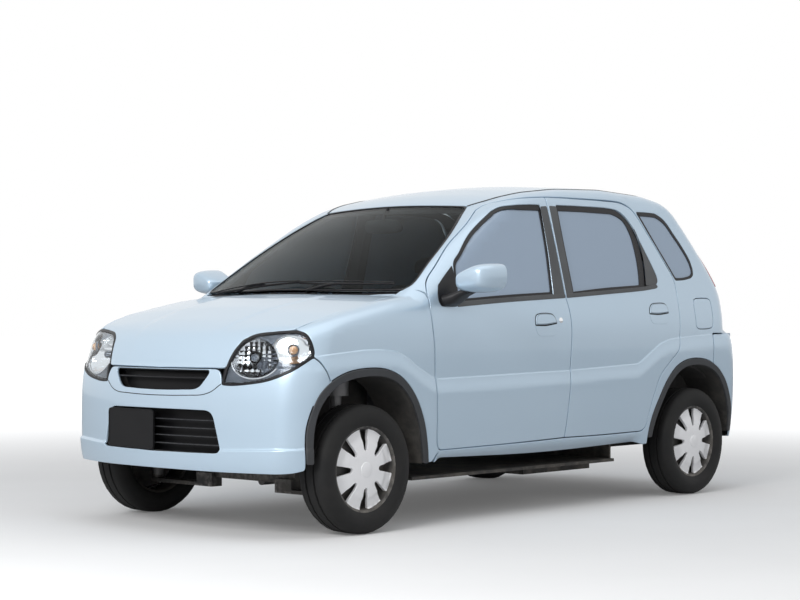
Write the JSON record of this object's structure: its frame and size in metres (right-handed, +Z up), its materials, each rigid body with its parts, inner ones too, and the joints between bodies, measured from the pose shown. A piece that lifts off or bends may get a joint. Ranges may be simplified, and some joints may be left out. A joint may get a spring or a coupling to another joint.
{
  "type": "kei car",
  "caption": "Five-door kei hatchback with opening doors, bonnet and tailgate, steered front wheels and covered steel wheels",
  "frame": {"origin": "centre of the car's outline at floor level", "axes": "+X forward, +Y to the car's left, +Z up"},
  "size_m": [3.395, 1.79, 1.5296],
  "materials": {
    "paint": "pale metallic ice blue",
    "black_plastic": "black, matt",
    "dark_plastic": "dark grey, grained",
    "lamp_lens": "clear lens",
    "red_lens": "red lens",
    "glass": "tinted window glass",
    "dark_steel": "black underseal",
    "cast_metal": "as cast",
    "seat_cloth": "woven cloth",
    "wheel_silver": "silver wheel cover on a black steel wheel",
    "tyre": "black rubber"
  },
  "bodies": {
    "chassis": {"body_side_left": "paint", "body_side_right": "paint", "roof": "paint", "front_wing_left": "paint", "front_wing_right": "paint", "front_bumper": "paint", "grille": "black_plastic", "lower_grille": "black_plastic", "headlamps": "lamp_lens", "rear_bumper": "paint", "quarter_glass": "glass", "windscreen": "glass", "floor_pan": "dark_steel", "front_aprons": "dark_steel", "cowl": "black_plastic", "engine": "cast_metal", "front_crossmember": "dark_steel", "rear_axle": "dark_steel", "exhaust": "dark_steel", "fuel_tank": "black_plastic", "front_seat_left": "seat_cloth", "front_seat_right": "seat_cloth", "front_plate": "black_plastic", "arch_mouldings": "dark_plastic", "rear_seat": "seat_cloth", "dashboard": "dark_plastic", "steering_wheel": "black_plastic", "tail_lamps": "red_lens"},
    "bonnet": {"bonnet": "paint"},
    "tailgate": {"tailgate": "paint", "tailgate_glass": "glass"},
    "front_door_left": {"front_door_left": "paint", "front_door_glass_left": "glass", "mirror_left": "paint"},
    "front_door_right": {"front_door_right": "paint", "front_door_glass_right": "glass", "mirror_right": "paint"},
    "rear_door_left": {"rear_door_left": "paint", "rear_door_glass_left": "glass"},
    "rear_door_right": {"rear_door_right": "paint", "rear_door_glass_right": "glass"},
    "fuel_lid": {"fuel_lid": "paint"},
    "knuckle_left": {"front_knuckle_left": "cast_metal"},
    "knuckle_right": {"front_knuckle_right": "cast_metal"},
    "wheel_front_left": {"wheel_front_left": "wheel_silver", "tyre_front_left": "tyre"},
    "wheel_front_right": {"wheel_front_right": "wheel_silver", "tyre_front_right": "tyre"},
    "wheel_rear_left": {"wheel_rear_left": "wheel_silver", "tyre_rear_left": "tyre"},
    "wheel_rear_right": {"wheel_rear_right": "wheel_silver", "tyre_rear_right": "tyre"}
  },
  "joints": [
    {"name": "bonnet_hinge", "type": "hinge", "parent": "chassis", "child": "bonnet", "pos_m": [0.876, 0, 0.986], "axis": [0, -1, 0], "range_deg": [0, 55]},
    {"name": "tailgate_hinge", "type": "hinge", "parent": "chassis", "child": "tailgate", "pos_m": [-1.166, 0, 1.489], "axis": [0, 1, 0], "range_deg": [0, 80]},
    {"name": "front_door_left_hinge", "type": "hinge", "parent": "chassis", "child": "front_door_left", "pos_m": [0.775, 0.731, 0.64], "axis": [0, 0.0698, -0.9976], "range_deg": [0, 66]},
    {"name": "front_door_right_hinge", "type": "hinge", "parent": "chassis", "child": "front_door_right", "pos_m": [0.775, -0.731, 0.64], "axis": [0, 0.0698, 0.9976], "range_deg": [0, 66]},
    {"name": "rear_door_left_hinge", "type": "hinge", "parent": "chassis", "child": "rear_door_left", "pos_m": [-0.133, 0.722, 0.64], "axis": [0, 0.0698, -0.9976], "range_deg": [0, 70]},
    {"name": "rear_door_right_hinge", "type": "hinge", "parent": "chassis", "child": "rear_door_right", "pos_m": [-0.133, -0.722, 0.64], "axis": [0, 0.0698, 0.9976], "range_deg": [0, 70]},
    {"name": "fuel_lid_hinge", "type": "hinge", "parent": "chassis", "child": "fuel_lid", "pos_m": [-1.203, 0.706, 0.9], "axis": [0, 0, -1], "range_deg": [0, 90]},
    {"name": "steer_left", "type": "hinge", "parent": "chassis", "child": "knuckle_left", "pos_m": [1.1725, 0.598, 0.18], "axis": [0, -0.0931, 0.9957], "range_deg": [-35, 35]},
    {"name": "steer_right", "type": "hinge", "parent": "chassis", "child": "knuckle_right", "pos_m": [1.1725, -0.598, 0.18], "axis": [0, 0.0931, 0.9957], "range_deg": [-35, 35]},
    {"name": "spin_front_left", "type": "hinge", "parent": "knuckle_left", "child": "wheel_front_left", "pos_m": [1.1725, 0.645, 0.264], "axis": [0, 1, 0], "continuous": true},
    {"name": "spin_front_right", "type": "hinge", "parent": "knuckle_right", "child": "wheel_front_right", "pos_m": [1.1725, -0.645, 0.264], "axis": [0, 1, 0], "continuous": true},
    {"name": "spin_rear_left", "type": "hinge", "parent": "chassis", "child": "wheel_rear_left", "pos_m": [-1.1875, 0.645, 0.264], "axis": [0, 1, 0], "continuous": true},
    {"name": "spin_rear_right", "type": "hinge", "parent": "chassis", "child": "wheel_rear_right", "pos_m": [-1.1875, -0.645, 0.264], "axis": [0, 1, 0], "continuous": true}
  ],
  "couplings": [
    {"joint": "steer_right", "follows": "steer_left", "ratio": 1}
  ]
}
